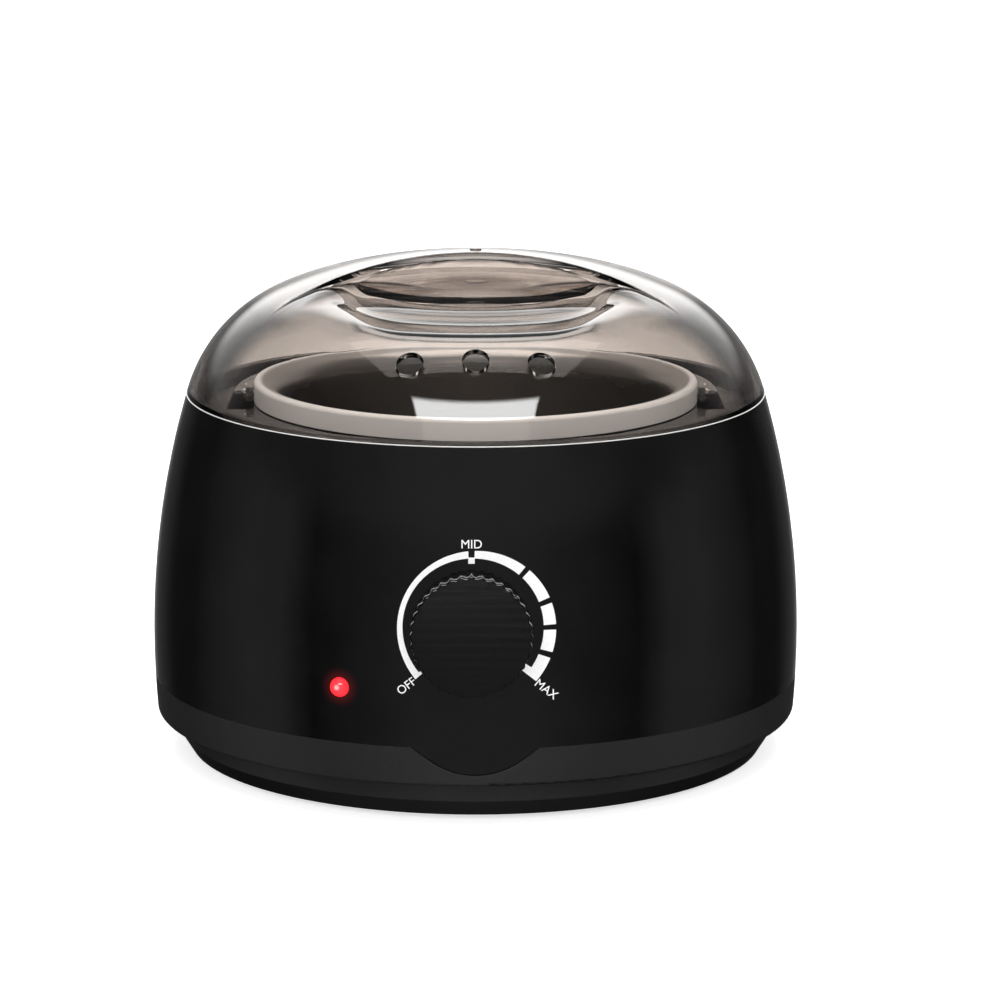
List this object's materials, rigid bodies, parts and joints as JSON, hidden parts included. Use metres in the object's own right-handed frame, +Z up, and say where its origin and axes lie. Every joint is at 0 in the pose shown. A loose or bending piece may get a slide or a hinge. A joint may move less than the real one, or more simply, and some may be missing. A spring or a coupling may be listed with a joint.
{
  "type": "candle wax melter",
  "caption": "Barrel-shaped electric wax warmer with a removable flared pot, a smoky clear dome lid with a finger ridge, and a temperature dial.",
  "frame": {"origin": "middle of the footprint, knob and gland included, at the level the rubber feet stand on", "axes": "+Z up along the barrel, the dial faces -Y, the cord inlet faces +Y"},
  "size_m": [0.1854, 0.201, 0.1447],
  "materials": {
    "clear_lid": "smoky transparent, glossy",
    "black_gloss": "glossy",
    "black_satin": "satin, fine texture",
    "black_matt": "matt",
    "foot_rubber": "matt",
    "red_lens": "translucent, glossy",
    "aluminium": "satin",
    "pot_metal": "spun, satin, bright flared mouth",
    "steel": "bright zinc plated",
    "brass": "bare",
    "mica": "matt, layered mica",
    "fibre": "matt needled fibre",
    "silicone": "matt",
    "bakelite": "matt",
    "white_plastic": "satin",
    "lead_brown": "satin",
    "lead_blue": "satin",
    "lead_white": "satin",
    "copper": "bare tube",
    "lamp_glass": "clear"
  },
  "bodies": {
    "housing": {"main_housing": "black_gloss", "base_shell": "black_satin", "bottom_cover": "black_satin", "rubber_feet": "foot_rubber", "base_screws": "steel", "heating_cup": "aluminium", "cup_seal": "silicone", "cup_screws": "steel", "heater_element": "mica", "pressure_plate": "steel", "plate_nut": "steel", "shield_nut": "steel", "heat_shield": "steel", "insulation_sleeve": "fibre", "thermal_fuse": "steel", "fuse_clip": "steel", "terminal_block": "white_plastic", "terminal_screws": "brass", "lead_live": "lead_brown", "lead_switched": "lead_brown", "lead_bridge": "lead_white", "lead_neutral": "lead_blue", "lamp_leads": "lead_white", "thermostat_plate": "steel", "thermostat_body": "bakelite", "thermostat_bush": "brass", "thermostat_nut": "steel", "sensor_bulb": "copper", "bulb_clip": "steel", "indicator_lens": "red_lens", "lamp_holder": "white_plastic", "indicator_lamp": "lamp_glass", "cable_gland": "foot_rubber"},
    "knob": {"knob": "black_matt", "knob_spring": "steel", "thermostat_spindle": "steel"},
    "pot": {"wax_pot": "pot_metal", "pot_lugs": "steel", "lug_rivets": "steel"},
    "bail": {"bail_wire": "steel"},
    "lid": {"lid": "clear_lid"}
  },
  "joints": [
    {"name": "knob_turn", "type": "hinge", "parent": "housing", "child": "knob", "pos_m": [-0.0011, -0.08542, 0.0557], "axis": [0, 0.9959, -0.0908], "range_deg": [0, 259]},
    {"name": "pot_lift", "type": "slide", "parent": "housing", "child": "pot", "axis": [0, 0, 1], "range_m": [0, 0.1]},
    {"name": "lid_lift", "type": "slide", "parent": "pot", "child": "lid", "axis": [0, 0, 1], "range_m": [0, 0.15]},
    {"name": "bail_swing", "type": "hinge", "parent": "pot", "child": "bail", "pos_m": [0, 0.00629, 0.1028], "axis": [1, 0, 0], "range_deg": [0, 180]}
  ],
  "couplings": [
    {"joint": "bail_swing", "follows": "lid_lift", "rad_per_m": 20.942}
  ]
}
